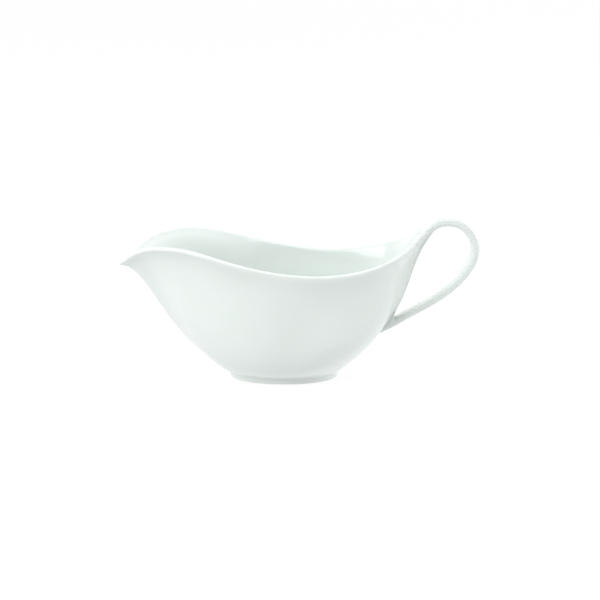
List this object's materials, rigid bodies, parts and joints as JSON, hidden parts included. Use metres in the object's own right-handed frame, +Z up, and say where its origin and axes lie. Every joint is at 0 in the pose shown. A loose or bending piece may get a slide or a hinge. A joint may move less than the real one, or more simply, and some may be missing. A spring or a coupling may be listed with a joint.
{
  "type": "gravy boat",
  "caption": "Glazed porcelain gravy boat with a beaked pouring spout, a sweeping rim, a looped strap handle that grows out of the rim, and an oval foot.",
  "frame": {"origin": "on the ground under the middle of the object's box, in its plane of symmetry", "axes": "+X towards the handle, spout towards -X, +Z up, +Y to the boat's left when looking from the spout to the handle"},
  "size_m": [0.2393, 0.096, 0.1088],
  "materials": {
    "glaze": "clear gloss glaze over white porcelain",
    "bare_clay": "bare polished porcelain on the face that stands on the table, glazed up its sides"
  },
  "bodies": {
    "root": {"bowl": "glaze", "handle": "glaze", "foot_ring": "bare_clay"}
  },
  "joints": []
}
